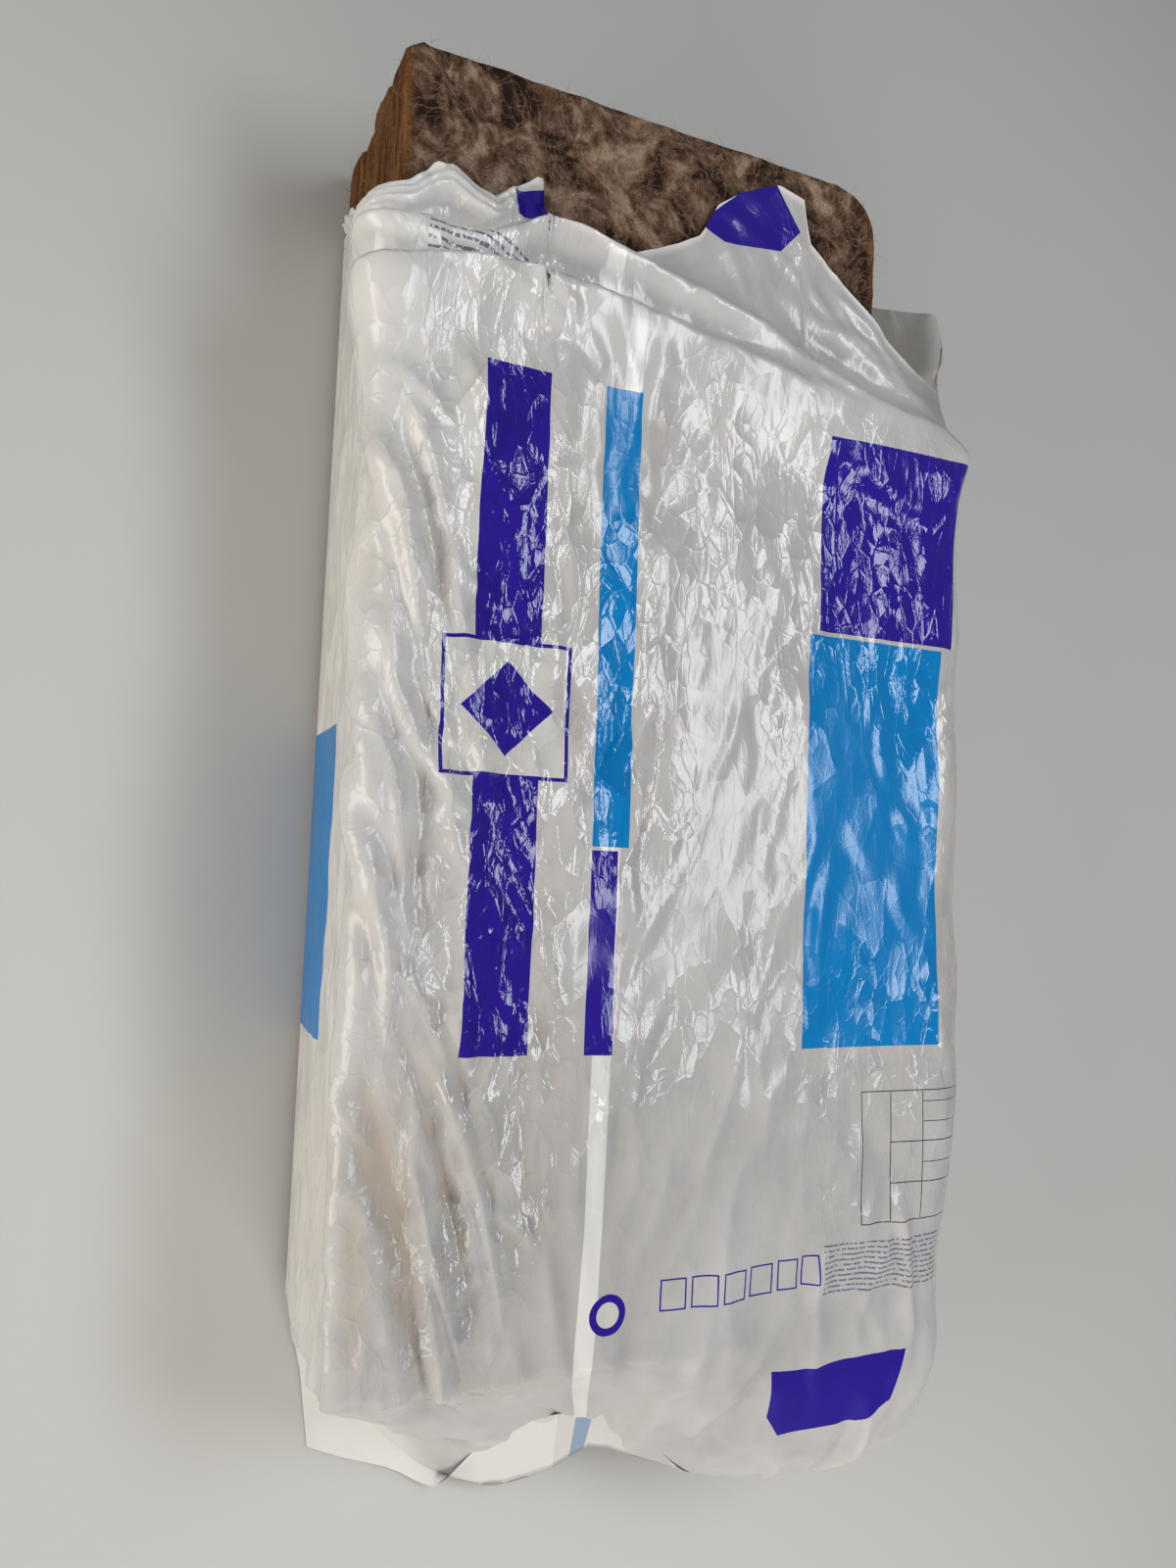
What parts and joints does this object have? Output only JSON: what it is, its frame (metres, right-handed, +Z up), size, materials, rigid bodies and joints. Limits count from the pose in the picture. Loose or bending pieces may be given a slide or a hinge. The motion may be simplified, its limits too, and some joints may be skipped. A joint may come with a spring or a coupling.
{
  "type": "opened pack of glass wool insulation boards",
  "caption": "Stack of flat brown glass wool boards lying in a slack white film bag, torn open at one end and welded shut with a fin at the other.",
  "frame": {"origin": "on the floor, under the middle of the boards' footprint", "axes": "+X along the boards from the torn open end of the bag to its welded end, +Y from the front to the back, +Z up"},
  "size_m": [1.612, 0.7611, 0.3043],
  "materials": {
    "wool": "matt brown glass wool, mottled and fuzzy, with a fine striation along the sawn edges",
    "film": "glossy white polythene film, crumpled, slightly see-through, with plain blue and cyan printed bars"
  },
  "bodies": {
    "root": {"board_1": "wool", "board_2": "wool", "board_3": "wool", "board_4": "wool", "film_bag": "film"}
  },
  "joints": []
}
